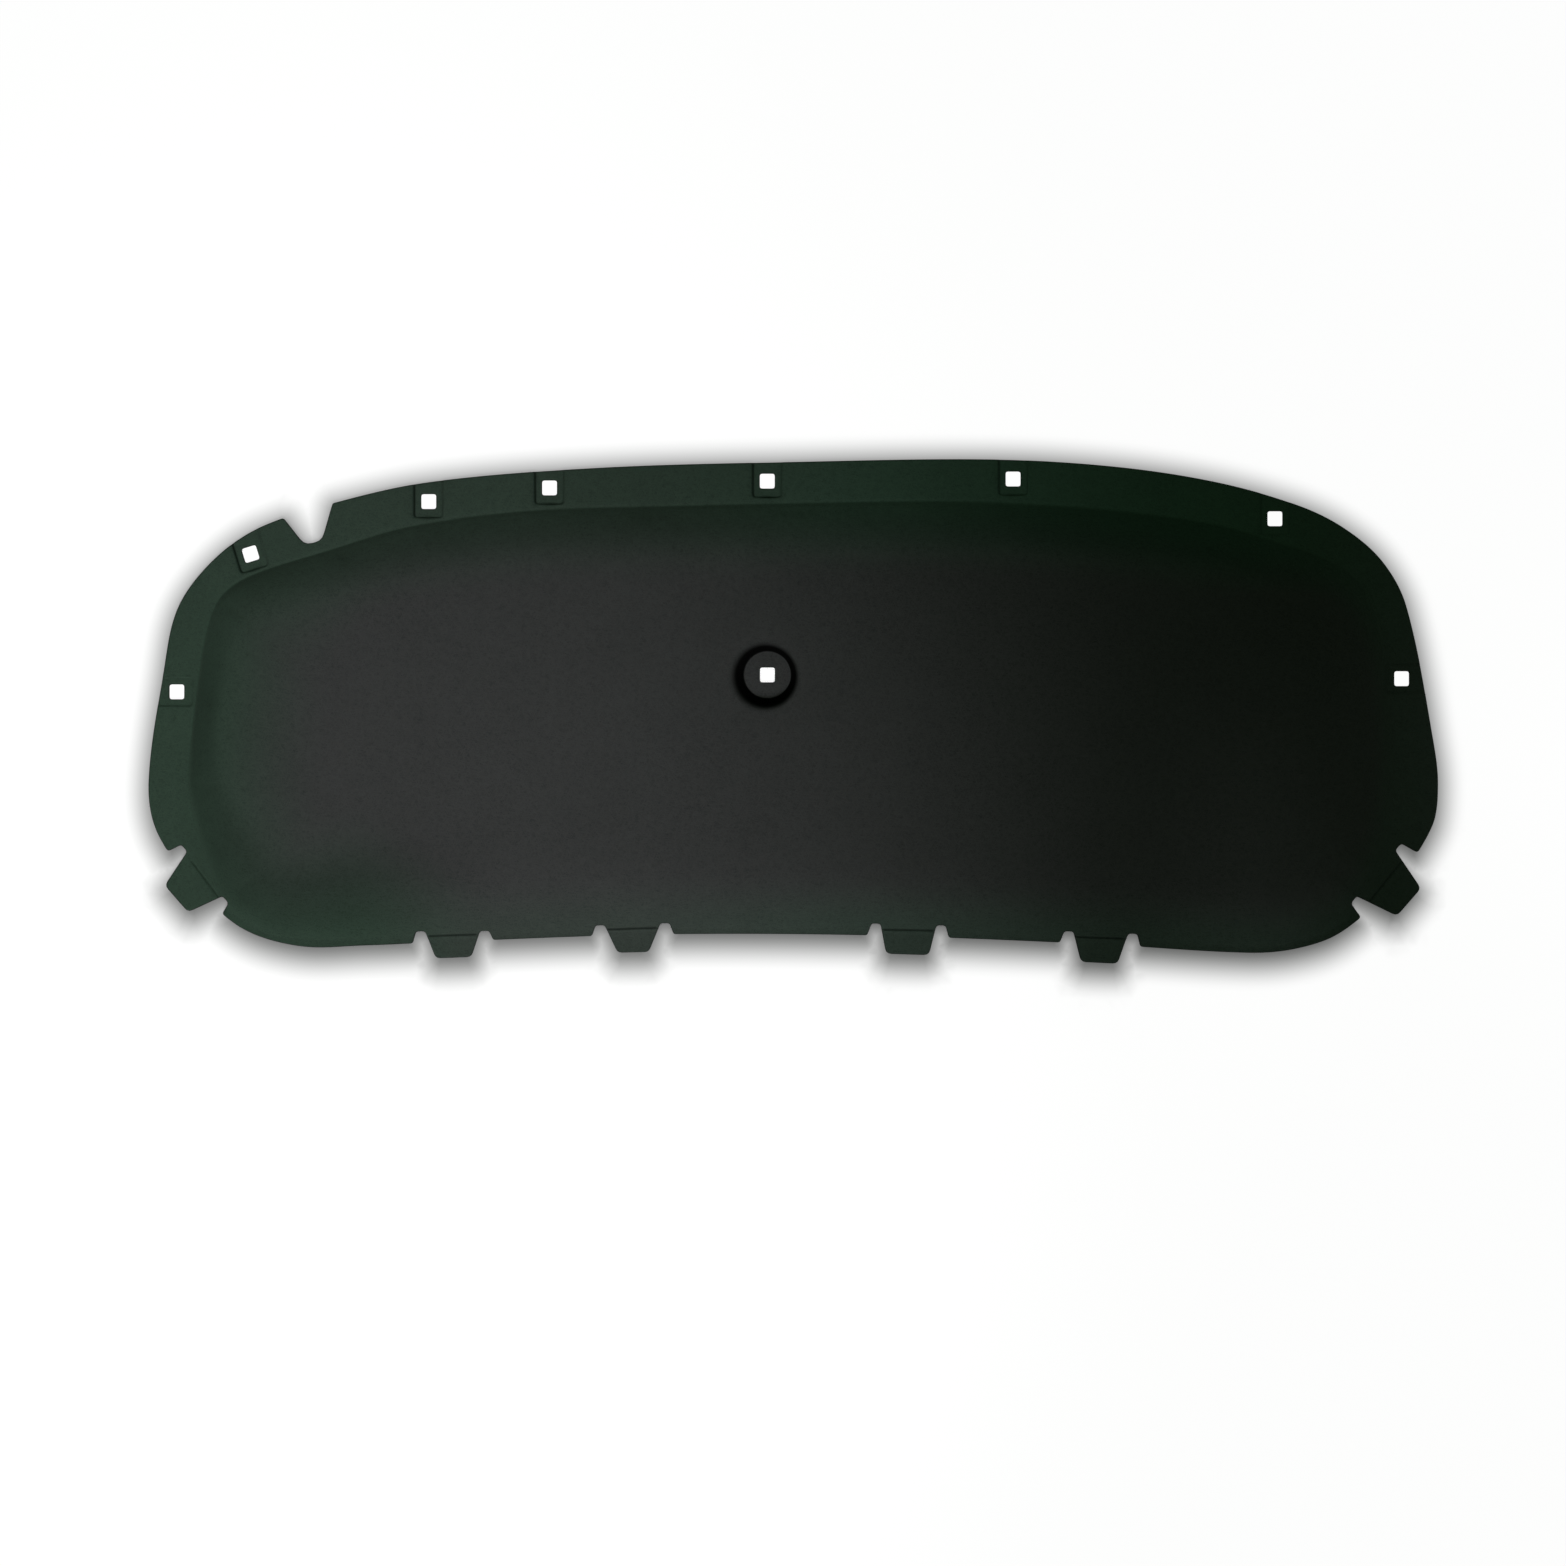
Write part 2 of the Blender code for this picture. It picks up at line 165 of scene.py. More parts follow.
def depth_inside(points, loop):
    """The distance of each point from a closed loop, positive inside it."""
    tree = KDTree(len(loop))
    for i, point in enumerate(loop):
        tree.insert((point[0], point[1], 0.0), i)
    tree.balance()
    nearest = np.array([tree.find((x, y, 0.0))[1] for x, y in points])
    best = np.full(len(points), np.inf)
    for shift in (-1, 0):
        start = loop[(nearest + shift) % len(loop)]
        run = loop[(nearest + shift + 1) % len(loop)] - start
        share = ((points - start) * run).sum(1) / (run * run).sum(1)
        foot = start + run * np.clip(share, 0.0, 1.0)[:, None]
        best = np.minimum(best, np.linalg.norm(points - foot, axis=1))
    return np.where(inside(points, [loop]), best, -best)


def edge_shares(points):
    """How far each place belongs to the sides and to the bottom edge, seen from the long middle line."""
    foot = np.clip(points[:, 0], -SPINE_END, SPINE_END)
    away = np.stack([points[:, 0] - foot, points[:, 1]], 1)
    away /= np.maximum(np.linalg.norm(away, axis=1, keepdims=True), 0.001)
    return away[:, 0] ** 2, np.where(away[:, 1] < 0, away[:, 1] ** 2, 0.0)


def lofted_height(points, depth):
    """The top of the plain moulding, before seats, pocket and tab folds are pressed in."""
    side, low = edge_shares(points)
    shoulder = SHOULDER_TOP + (SHOULDER_SIDES - SHOULDER_TOP) * side
    shoulder += (SHOULDER_BOTTOM - SHOULDER_TOP) * low
    fillet = CREASE_FILLET + (CREASE_FILLET_BOTTOM - CREASE_FILLET) * low
    eased = np.where(depth < fillet, np.maximum(depth + fillet, 0.0) ** 2 / (4 * fillet), depth)
    t = np.clip(eased / shoulder, 0.0, 1.0)
    pitch = 2 / (1 + STRAIGHT_SHARE)
    past = np.maximum(t - STRAIGHT_SHARE, 0.0)
    straight = pitch * (t - past ** 2 / (2 * (1 - STRAIGHT_SHARE)))
    climb = straight * (1 - low) + np.sin(t * math.pi / 2) * low
    groove = CREASE_GROOVE * (1 - low) * np.exp(-((depth / CREASE_GROOVE_WIDTH) ** 2))
    return FLANGE + (THICKNESS - FLANGE) * climb - groove


# The clip seats. A second tool flattens a square seat round each rim hole, open to the edge, so that the
# head of the push clip sits level, and pinches one deep round pocket down to the panel in the middle.
SEAT_WIDTH = 0.0276
SEAT_REACH_IN = 0.0158
SEAT_DEPTH = 0.0012
SEAT_CORNER = 0.0040
SIDE_SEAT_SHARE = 0.5
SEAT_WALL = 0.0012
SEAT_SHADE_WIDTH = 0.0016
POCKET_FLOOR_RADIUS = 0.022
POCKET_MOUTH_RADIUS = 0.0315
POCKET_MOUTH_SHIFT = (-0.0024, -0.0020)
POCKET_FLOOR_HEIGHT = 0.0040
POCKET_SHOULDER_SHARE = 0.42
POCKET_SINK = 0.0006
POCKET_SINK_REACH = 0.012
CORNER_SEAT_TURN = math.radians(17.0)
# Seats past these places from the middle are the side seats and the turned corner seat.
SIDE_SEATS_FROM = 0.54
CORNER_SEAT_BEFORE = -0.45
# How dark the painted shade is along each wall of a seat, and how much of it is gone on the right.
SEAT_SHADE_SIDE_SEAT = 0.12
SEAT_SHADE_ALL_ROUND = 0.15
SEAT_SHADE_LEFT_WALL = 0.62
SEAT_SHADE_LOWER_WALL = 0.30
SEAT_SHADE_FADE = 0.75
SEAT_SHADE_FADE_END = 0.45
# How far out and how closely the surface points lie along a seat's and the pocket's border.
SEAT_ROW_TOP = 0.030
SEAT_ROW_STEP = 0.0018
SEAT_BEND_POINTS = 6
POCKET_ROW_STEP = 0.0020

pocket_centre = hole_centres[np.linalg.norm(hole_centres, axis=1).argmin()]
rim_holes = [
    centre for centre in hole_centres if np.linalg.norm(centre - pocket_centre) > POCKET_MOUTH_RADIUS
]


def seat_axes(centre):
    """The way along the rim and the way out to the edge at one clip hole."""
    if abs(centre[0]) > SIDE_SEATS_FROM:
        turn = math.copysign(math.pi / 2, -centre[0])
    else:
        turn = CORNER_SEAT_TURN if centre[0] < CORNER_SEAT_BEFORE else 0.0
    return np.array([math.cos(turn), math.sin(turn)]), np.array([-math.sin(turn), math.cos(turn)])


def seat_distance(points, centre):
    """The signed distance from a seat's border, negative on its floor."""
    along, out = seat_axes(centre)
    away = points - centre
    across = np.abs(away @ along) - (SEAT_WIDTH / 2 - SEAT_CORNER)
    down = -(away @ out) - (SEAT_REACH_IN - SEAT_CORNER)
    outer = np.hypot(np.maximum(across, 0.0), np.maximum(down, 0.0))
    return outer + np.minimum(np.maximum(across, down), 0.0) - SEAT_CORNER


def painted_seat_shade(points, centre):
    """The painted shade along a seat's border: darkest on its left wall, least on its right."""
    along, _ = seat_axes(centre)
    line = np.exp(-((seat_distance(points, centre) + SEAT_WALL / 2) / SEAT_SHADE_WIDTH) ** 2)
    if abs(centre[0]) > SIDE_SEATS_FROM:
        return SEAT_SHADE_SIDE_SEAT * line
    across = (points - centre) @ along / (SEAT_WIDTH / 2)
    strength = SEAT_SHADE_ALL_ROUND + SEAT_SHADE_LEFT_WALL * smooth_step(0.80, 0.97, -across)
    strength += SEAT_SHADE_LOWER_WALL * smooth_step(0.30, 0.95, 1 - np.abs(across))
    return line * strength * (1 - SEAT_SHADE_FADE * smooth_step(0.0, SEAT_SHADE_FADE_END, centre[0]))


def seat_row(centre, offset):
    """Points along a seat's border, moved out by an offset, from the edge down and back up to it."""
    along, out = seat_axes(centre)
    half, reach, radius = SEAT_WIDTH / 2 + offset, SEAT_REACH_IN + offset, SEAT_CORNER + offset
    side = [(half, v) for v in np.arange(SEAT_ROW_TOP, radius - reach, -SEAT_ROW_STEP)]
    bend = [
        (half - radius + radius * math.cos(a), radius - reach - radius * math.sin(a))
        for a in np.linspace(0.0, math.pi / 2, SEAT_BEND_POINTS)
    ]
    floor_start = half - radius - SEAT_ROW_STEP * 2 / 3
    floor = [(u, -reach) for u in np.arange(floor_start, 0.0, -SEAT_ROW_STEP)]
    right = side + bend + floor
    return np.array([centre + along * u * sign + out * v for sign in (1, -1) for u, v in right])


def pocket_mouth(turn):
    """How far the pocket's mouth, a circle a little off its floor's middle, lies out at each turn."""
    way = np.stack([np.cos(turn), np.sin(turn)], -1)
    along = way @ np.array(POCKET_MOUTH_SHIFT)
    shift = math.hypot(*POCKET_MOUTH_SHIFT)
    return along + np.sqrt(POCKET_MOUTH_RADIUS ** 2 - shift ** 2 + along ** 2)


def pocket_share(points):
    """Where each place lies on the pocket's wall: 0 at its mouth, 1 at its floor, below 0 outside."""
    away = points - pocket_centre
    mouth = pocket_mouth(np.arctan2(away[:, 1], away[:, 0]))
    return (mouth - np.linalg.norm(away, axis=1)) / (mouth - POCKET_FLOOR_RADIUS)


def pocket_row(share):
    turns = np.arange(0, 2 * math.pi, POCKET_ROW_STEP / POCKET_MOUTH_RADIUS)
    mouth = pocket_mouth(turns)
    radius = mouth - (mouth - POCKET_FLOOR_RADIUS) * share
    return pocket_centre + radius[:, None] * np.stack([np.cos(turns), np.sin(turns)], 1)


def pocket_drop(points):
    """How deep the pocket's tool has pressed each place below the plain top: shoulder, then steep wall."""
    share = pocket_share(points)
    wall = np.clip(share, 0.0, 1.0)
    rounded = wall ** 2 / (2 * POCKET_SHOULDER_SHARE)
    fall = np.where(wall < POCKET_SHOULDER_SHARE, rounded, wall - POCKET_SHOULDER_SHARE / 2)
    fall /= 1 - POCKET_SHOULDER_SHARE / 2
    outside = -np.minimum(share, 0.0) * (POCKET_MOUTH_RADIUS - POCKET_FLOOR_RADIUS)
    sink = POCKET_SINK * (1 - smooth_step(0.0, POCKET_SINK_REACH, outside))
    return (THICKNESS - POCKET_FLOOR_HEIGHT - POCKET_SINK) * fall + sink


# The tab folds. Each of the six edge tabs is tucked behind the panel's frame when the pad is fitted, so
# its root is creased by the die with a shallow line.
TAB_CREASE_WIDTH = 0.0030
TAB_CREASE_DEPTH = 0.0010
TAB_CREASE_FADE = 0.0040
TAB_CREASE_STEP = 0.0018
TAB_CREASE_OVERRUN = 0.0010
# How dark the painted shade in each fold line is, at the middle tabs and at the corner tabs.
TAB_CREASE_PAINTED_SHADE = 0.55
TAB_CREASE_PAINTED_SHADE_CORNER = 0.22
CORNER_TABS_FROM = 0.50
# Middle of each fold, half its length and its direction in degrees.
TAB_FOLDS = [
    (0.5500, -0.1590, 0.0270, 51.0),
    (0.2850, -0.2102, 0.0250, -2.0),
    (0.1070, -0.2029, 0.0255, -1.0),
    (-0.1500, -0.2015, 0.0250, 2.0),
    (-0.3170, -0.2077, 0.0245, 2.0),
    (-0.5470, -0.1560, 0.0235, -53.0),
]


def fold_frame(fold):
    x, y, half, turn = fold
    turn = math.radians(turn)
    return np.array([x, y]), np.array([math.cos(turn), math.sin(turn)]), half


def fold_row(fold, offset):
    centre, along, half = fold_frame(fold)
    across = np.array([-along[1], along[0]])
    places = np.arange(-half, half + TAB_CREASE_OVERRUN, TAB_CREASE_STEP)
    return np.array([centre + along * u + across * offset for u in places])


def fold_line(points):
    """How far each place lies in a pressed fold line, from 0 beside it to 1 along its bottom."""
    deepest = np.zeros(len(points))
    for fold in TAB_FOLDS:
        centre, along, half = fold_frame(fold)
        away = points - centre
        run = np.abs(away @ along)
        across = np.abs(away @ np.array([-along[1], along[0]]))
        line = np.clip(1 - across / (TAB_CREASE_WIDTH / 2), 0.0, 1.0)
        deepest = np.maximum(deepest, line * (1 - smooth_step(half - TAB_CREASE_FADE, half, run)))
    return deepest


# The pad itself: one sheet of needled, resin-bonded fibre behind a black nonwoven face. Its surface
# points lie in rows along every pressed line and on an even net between them, and take their height
# from the shapes above. The cut edge turns over a small radius, and the back lies flat on the panel.
CUT_EDGE = [(0.00060, 0.00000), (0.00020, 0.00013), (0.00000, 0.00050)]
BACK_EDGE = [(0.00000, 0.00045), (0.00015, 0.00012), (0.00050, 0.00000)]
FLANGE_NET = 0.0050
LOFT_NET = 0.0068
BACK_NET = 0.0160
# How far from each pressed line its rows of points lie, or which shares of the pocket's wall they take.
EDGE_ROW = 0.0017
FOLD_ROWS = (-0.0022, -0.0015, -0.0010, -0.0005, 0.0, 0.0005, 0.0010, 0.0015, 0.0022)
SEAT_ROWS = (-0.0030, -0.0021, -SEAT_WALL, -0.0009, -0.0006, -0.0003, 0.0, 0.0009, 0.0018)
POCKET_ROWS = (
    1.45, 1.22, 1.07, 1.0, 0.94, 0.84, 0.72, 0.60, 0.50, 0.42,
    0.34, 0.26, 0.18, 0.09, 0.0, -0.12, -0.30, -0.55, -0.90,
)
CREASE_ROWS = (-0.0042, -0.0026, -0.0014, -0.0006, 0.0, 0.0006, 0.0014, 0.0026, 0.0044)
SHOULDER_ROWS = np.arange(0.0075, SHOULDER_BOTTOM + 0.006, 0.0042)
FLANGE_NET_END = 0.004
LOFT_NET_START = 0.020
# The press leaves the loft slightly wavy: broad waves and a fine ripple, weaker on the flange.
UNEVEN = 0.00030
UNEVEN_SPAN = 0.110
UNEVEN_SLICE = 3.7
RIPPLE = 0.00006
RIPPLE_SPAN = 0.022
RIPPLE_SLICE = 8.1
FLANGE_UNEVEN_SHARE = 0.25
LOFT_START = 0.030
RELAX_ROUNDS = 24
RELAX_SPAN = (0.006, 0.014)
RELAX_SHARE = 0.5
SEAT_NEAR = 0.040

outline_loops = [rim_line] + [line[::-1] for line in hole_lines]


def edge_row(loop, inset):
    """A border loop of the pad moved into the pad's fibre: holes run clockwise, so they widen."""
    if turning_area(loop) > 0:
        return moved_in(loop, inset)
    return moved_in(loop[::-1], -inset)[::-1]


top_borders = [edge_row(loop, CUT_EDGE[0][0]) for loop in outline_loops]


def net(step):
    """An even net of points over the whole pad, every second row shifted by half a step."""
    low, high = rim_line.min(0), rim_line.max(0)
    rows = []
    for i, y in enumerate(np.arange(low[1], high[1], step * 0.87)):
        xs = np.arange(low[0] + step / 2 * (i % 2), high[0], step)
        rows.append(np.stack([xs, np.full(len(xs), y)], 1))
    return np.concatenate(rows)


def add_rows(kept, rows, gap):
    """The kept points and those of the rows that lie on the pad, a gap away from every kept one."""
    more = np.concatenate(rows)
    more = more[inside(more, top_borders)]
    tree = KDTree(len(kept))
    for i, (x, y) in enumerate(kept):
        tree.insert((x, y, 0.0), i)
    tree.balance()
    free = [tree.find((x, y, 0.0))[2] >= gap for x, y in more]
    return np.concatenate([kept, more[np.array(free)]])


flange_net = net(FLANGE_NET)
flange_net = flange_net[depth_inside(flange_net, crease) < FLANGE_NET_END]
loft_net = net(LOFT_NET)
loft_net = loft_net[depth_inside(loft_net, crease) > LOFT_NET_START]
# The rows in the order that they are laid, each with the gap that it keeps from the points before it.
laid_rows = [
    ([edge_row(loop, EDGE_ROW) for loop in outline_loops], 0.0007),
    ([fold_row(fold, offset) for fold in TAB_FOLDS for offset in FOLD_ROWS], 0.0005),
    ([seat_row(centre, offset) for centre in rim_holes for offset in SEAT_ROWS], 0.00022),
    ([pocket_row(share) for share in POCKET_ROWS], 0.0),
    ([moved_in(crease, offset) for offset in CREASE_ROWS], 0.0004),
    ([moved_in(crease, offset)[::2] for offset in SHOULDER_ROWS], 0.0024),
    ([flange_net], 0.0024),
    ([loft_net], 0.0033),
]
surface = np.concatenate(top_borders)
for rows, gap in laid_rows:
    surface = add_rows(surface, rows, gap)


def triangulated(points, loops):
    """Triangles between the points that keep the loops as edges and leave out what lies outside them."""
    edges = []
    first = 0
    for loop in loops:
        count = len(loop)
        edges += [(first + k, first + (k + 1) % count) for k in range(count)]
        first += count
    made = delaunay_2d_cdt([Vector(point) for point in points], edges, [], 0, 1e-7)
    source = [origins[0] for origins in made[3]]
    faces = np.array([[source[k] for k in face] for face in made[2]])
    return faces[inside(points[faces].mean(1), loops)]


def relaxed(height, faces, free, rounds):
    """Heights eased towards the mean of their neighbours where they are free to move."""
    sides = np.concatenate([faces[:, [0, 1]], faces[:, [1, 2]], faces[:, [2, 0]]])
    start, end = sides[:, 0], sides[:, 1]
    count = np.maximum(np.bincount(start, minlength=len(height)), 1)
    for _ in range(rounds):
        mean = np.bincount(start, height[end], len(height)) / count
        height = height + (mean - height) * free * RELAX_SHARE
    return height


top_faces = triangulated(surface, top_borders)
depth = depth_inside(surface, crease)
height = lofted_height(surface, depth)
height = relaxed(height, top_faces, smooth_step(*RELAX_SPAN, depth), RELAX_ROUNDS)
loft = smooth_step(0.0, LOFT_START, depth)
waves = [noise.noise((x / UNEVEN_SPAN, y / UNEVEN_SPAN, UNEVEN_SLICE)) for x, y in surface]
ripples = [noise.noise((x / RIPPLE_SPAN, y / RIPPLE_SPAN, RIPPLE_SLICE)) for x, y in surface]
uneven_share = FLANGE_UNEVEN_SHARE + (1 - FLANGE_UNEVEN_SHARE) * loft
height += (UNEVEN * np.array(waves) + RIPPLE * np.array(ripples)) * uneven_share
# Each seat's pressed floor, and the painted shade along its walls.
seat_floor = np.zeros(len(surface))
seat_shade_mark = np.zeros(len(surface))
for centre in rim_holes:
    near = np.linalg.norm(surface - centre, axis=1) < SEAT_NEAR
    pressed = 1 - smooth_step(-SEAT_WALL, 0.0, seat_distance(surface[near], centre))
    pressed *= SIDE_SEAT_SHARE if abs(centre[0]) > SIDE_SEATS_FROM else 1.0
    seat_floor[near] = np.maximum(seat_floor[near], pressed)
    seat_shade_mark[near] = np.maximum(seat_shade_mark[near], painted_seat_shade(surface[near], centre))
fold = fold_line(surface)
height -= SEAT_DEPTH * seat_floor + pocket_drop(surface) + TAB_CREASE_DEPTH * fold
wall_share = pocket_share(surface)

vertices = [np.column_stack([surface, height])]
faces = [top_faces]
zones = [np.zeros(len(top_faces), int)]
levels = []
first = 0
total = len(surface)
for loop in outline_loops:
    count = len(loop)
    rim_height = height[first:first + count]
    rows = [np.arange(first, first + count)]
    for inset, drop in CUT_EDGE[1:]:
        vertices.append(np.column_stack([edge_row(loop, inset), rim_height - drop]))
        rows.append(np.arange(total, total + count))
        total += count
    for inset, low in BACK_EDGE:
        vertices.append(np.column_stack([edge_row(loop, inset), np.full(count, low)]))
        rows.append(np.arange(total, total + count))
        total += count
    for upper, lower in zip(rows, rows[1:]):
        ahead_upper, ahead_lower = np.roll(upper, -1), np.roll(lower, -1)
        faces += [
            np.column_stack([upper, lower, ahead_lower]),
            np.column_stack([upper, ahead_lower, ahead_upper]),
        ]
        zones += [np.ones(count, int)] * 2
    levels.append(rows[-1])
    first += count

back_rim = np.concatenate(levels)
back_borders = [edge_row(loop, BACK_EDGE[-1][0]) for loop in outline_loops]
back_points = add_rows(np.concatenate(back_borders), [net(BACK_NET)], BACK_NET / 2)
back_faces = triangulated(back_points, back_borders)
extra = back_points[len(back_rim):]
vertices.append(np.column_stack([extra, np.zeros(len(extra))]))
back_index = np.concatenate([back_rim, np.arange(total, total + len(extra))])
faces.append(back_index[back_faces][:, ::-1])
zones.append(np.full(len(back_faces), 2))

vertices = np.concatenate(vertices)
faces = np.concatenate(faces)
zones = np.concatenate(zones)


def mesh_from(name, vertices, faces, zones=None):
    mesh = bpy.data.meshes.new(name)
    mesh.from_pydata(vertices.tolist(), [], faces.tolist())
    if zones is not None:
        mesh.polygons.foreach_set("material_index", zones.astype(np.int32))
    mesh.shade_smooth()
    mesh.validate()
    obj = bpy.data.objects.new(name, mesh)
    bpy.context.scene.collection.objects.link(obj)
    return obj


pad = mesh_from("moulded_pad", vertices, faces, zones)


# The marks of the press, with painted shade and painted light. Four numbers at each point of the face tell
# its
# finish how the fibre came out there: how far it is pressed flat, how much painted shade darkens it, and
# how far it has lost the green tinge that the rim keeps, which is greener and painted lighter towards the
# right end.
RIM_PRESS = 0.72
TINGE_TOP = 0.075
TINGE_LEFT = 0.135
TINGE_RIGHT = 0.020
TINGE_BOTTOM = 0.055
PLAIN_TOP = 0.20
PLAIN_TOP_SPAN = (0.05, 0.28)
PLAIN_RIGHT = 0.75
PLAIN_BOTTOM = 0.60
RIM_TINGE_AND_LIGHT_SPAN = (-0.15, 0.10)
CORNER_END = (-0.42, -0.27)
# The painted shade on the slopes: where it lies, how dark it is, and how far down the slope it reaches.
CORNER_TOP = 0.12
DIM_CORNER = 0.26
DIM_TOP_LEFT = 0.08
DIM_TOP_RIGHT = 0.30
DIM_TOP_SPAN = (0.0, 0.30)
DIM_LIP_SHARE = 0.45
DIM_REACH_TOP = 0.055
DIM_REACH_SIDES = 0.030
DIM_REACH_BOTTOM = 0.110
DIM_START_SIDES = 0.003
DIM_START_BOTTOM = 0.028

across, up = surface.T
side, low = edge_shares(surface)
left, right, high = side * (across < 0), side * (across > 0), 1 - side - low
past_corner = smooth_step(*CORNER_END, across)


def pressed_flat():
    pocket_floor = smooth_step(0.85, 1.0, wall_share)
    rim = RIM_PRESS * (1 - smooth_step(-0.001, 0.007, depth))
    return np.maximum(np.maximum(seat_floor, pocket_floor), rim)


def plain_black():
    """Where the green tinge is gone: it is weaker on some sides, and fades out behind the crease."""
    start = PLAIN_RIGHT * right + PLAIN_BOTTOM * low * past_corner
    start += PLAIN_TOP * high * (1 - smooth_step(*PLAIN_TOP_SPAN, across))
    reach = TINGE_TOP * high + TINGE_LEFT * left + TINGE_RIGHT * right
    reach += low * (TINGE_LEFT + (TINGE_BOTTOM - TINGE_LEFT) * past_corner)
    return start + (1 - start) * smooth_step(0.0, reach, depth)


def painted_slope_shade():
    """Painted shade on the slopes: at the left and in the lower left corner, and along the top to the
    right.
    """
    dim = DIM_CORNER * (1 - past_corner) * (1 - smooth_step(0.0, CORNER_TOP, up))
    dim += high * (DIM_TOP_LEFT + (DIM_TOP_RIGHT - DIM_TOP_LEFT) * smooth_step(*DIM_TOP_SPAN, across))
    lip = DIM_LIP_SHARE * low * smooth_step(-0.012, -0.004, depth)
    dim_start = DIM_START_SIDES + (DIM_START_BOTTOM - DIM_START_SIDES) * low
    dim_reach = DIM_REACH_TOP * high + DIM_REACH_SIDES * side + DIM_REACH_BOTTOM * low
    dim *= lip + (1 - lip) * smooth_step(0.0, dim_start, depth)
    return dim * (1 - smooth_step(0.5, 1.0, depth / dim_reach))


def painted_shade_marks():
    """The painted shade: on the pocket's wall, the seats' walls, the tab folds and the slopes."""
    # The pocket's wall is painted dark as painted shade in the recess, clear again on its floor.
    pocket_wall_shade = smooth_step(-0.22, 0.50, wall_share) * (1 - smooth_step(0.98, 1.05, wall_share))
    # The tab fold lines are painted dark as painted shade in the creases, weaker at the corner tabs.
    shade = np.where(np.abs(across) > CORNER_TABS_FROM, TAB_CREASE_PAINTED_SHADE_CORNER, TAB_CREASE_PAINTED_SHADE)
    folds = shade * smooth_step(0.0, 0.8, fold)
    return np.maximum(np.maximum(pocket_wall_shade, seat_shade_mark), np.maximum(folds, painted_slope_shade()))


marks = {
    "pressed": pressed_flat(),
    "plain": plain_black(),
    # The rim grows greener and is painted lighter, as painted light, towards the right end.
    "rim_tinge_and_painted_light": smooth_step(*RIM_TINGE_AND_LIGHT_SPAN, across),
    "painted_shade": painted_shade_marks(),
}
for name, values in marks.items():
    whole = np.zeros(len(vertices), np.float32)
    whole[:len(values)] = values
    layer = pad.data.attributes.new(name, "FLOAT", "POINT")
    layer.data.foreach_set("value", whole)


# The finish of the fibre. The face is a black nonwoven of short crossed fibres: matt and faintly mottled
# where it is lofted, closer and a little smoother where it is pressed, and with a green tinge towards
# the rim. The cut edge shows the pressed layers, and the back is the bare needled felt.
FACE_COLOUR = (0.0342, 0.0343, 0.0356, 1.0)
RIM_COLOUR = (0.0232, 0.0425, 0.0298, 1.0)
# Towards the right end the rim is greener, and painted lighter as painted light.
RIM_COLOUR_TINGE_AND_LIGHT = (0.0305, 0.0650, 0.0440, 1.0)
CUT_COLOUR = (0.0200, 0.0270, 0.0225, 1.0)
CUT_SHADOW = (0.0100, 0.0130, 0.0110, 1.0)
BACK_COLOUR = (0.0420, 0.0430, 0.0400, 1.0)
BACK_SHADOW = (0.0180, 0.0190, 0.0180, 1.0)
FIBRES_PER_METRE = 900.0
FIBRE_TURNS = (4.0, 63.0, 118.0, 161.0)
BACK_FIBRES_PER_METRE = 700.0
BACK_FIBRE_TURNS = (20.0, 95.0, 150.0)
FIBRE_STRETCH = 9.0
FIBRE_THINNESS = 14.0
# How much of the face's shade comes from its fibres, clumps and clouds, and what is always there.
FIBRE_SHADE = 0.38
CLUMP_SHADE = 0.18
CLOUD_SHADE = 0.20
LEAST_SHADE = 0.54
# How far the painted shade darkens the face where it is strongest.
PAINTED_SHADE_STRENGTH = 0.95
FACE_SPECULAR = 0.14
FACE_SHEEN = 0.04
# The face is rough, a little less so where it is pressed and along each fibre.
FACE_ROUGHNESS = 0.94
PRESSED_SMOOTHING = 0.16
FIBRE_SMOOTHING = 0.06
# How much of the face's fine relief is its fibres, clumps and needle punches, and how much a press takes.
FIBRE_RELIEF = 0.55
CLUMP_RELIEF = 0.45
PUNCH_RELIEF = 0.15
PRESSED_RELIEF_LOSS = 0.60
BACK_CONTRAST = 2.2


def add_node(tree, kind, **values):
    """A node with its named inputs filled in: a number or colour, or an output to link from."""
    node = tree.nodes.new(kind)
    for name, value in values.items():
        key = name.replace("_", " ")
        if isinstance(value, bpy.types.NodeSocket):
            tree.links.new(value, node.inputs[key])
        else:
            node.inputs[key].default_value = value
    return node


def maths(tree, operation, *values):
    node = tree.nodes.new("ShaderNodeMath")
    node.operation = operation
    for socket, value in zip(node.inputs, values):
        if isinstance(value, bpy.types.NodeSocket):
            tree.links.new(value, socket)
        else:
            socket.default_value = value
    return node.outputs[0]


def colour_between(tree, share, first, second, blend="MIX"):
    node = tree.nodes.new("ShaderNodeMix")
    node.data_type = "RGBA"
    node.blend_type = blend
    sockets = (node.inputs["Factor"], node.inputs[6], node.inputs[7])
    for socket, value in zip(sockets, (share, first, second)):
        if isinstance(value, bpy.types.NodeSocket):
            tree.links.new(value, socket)
        else:
            socket.default_value = value
    return node.outputs[2]


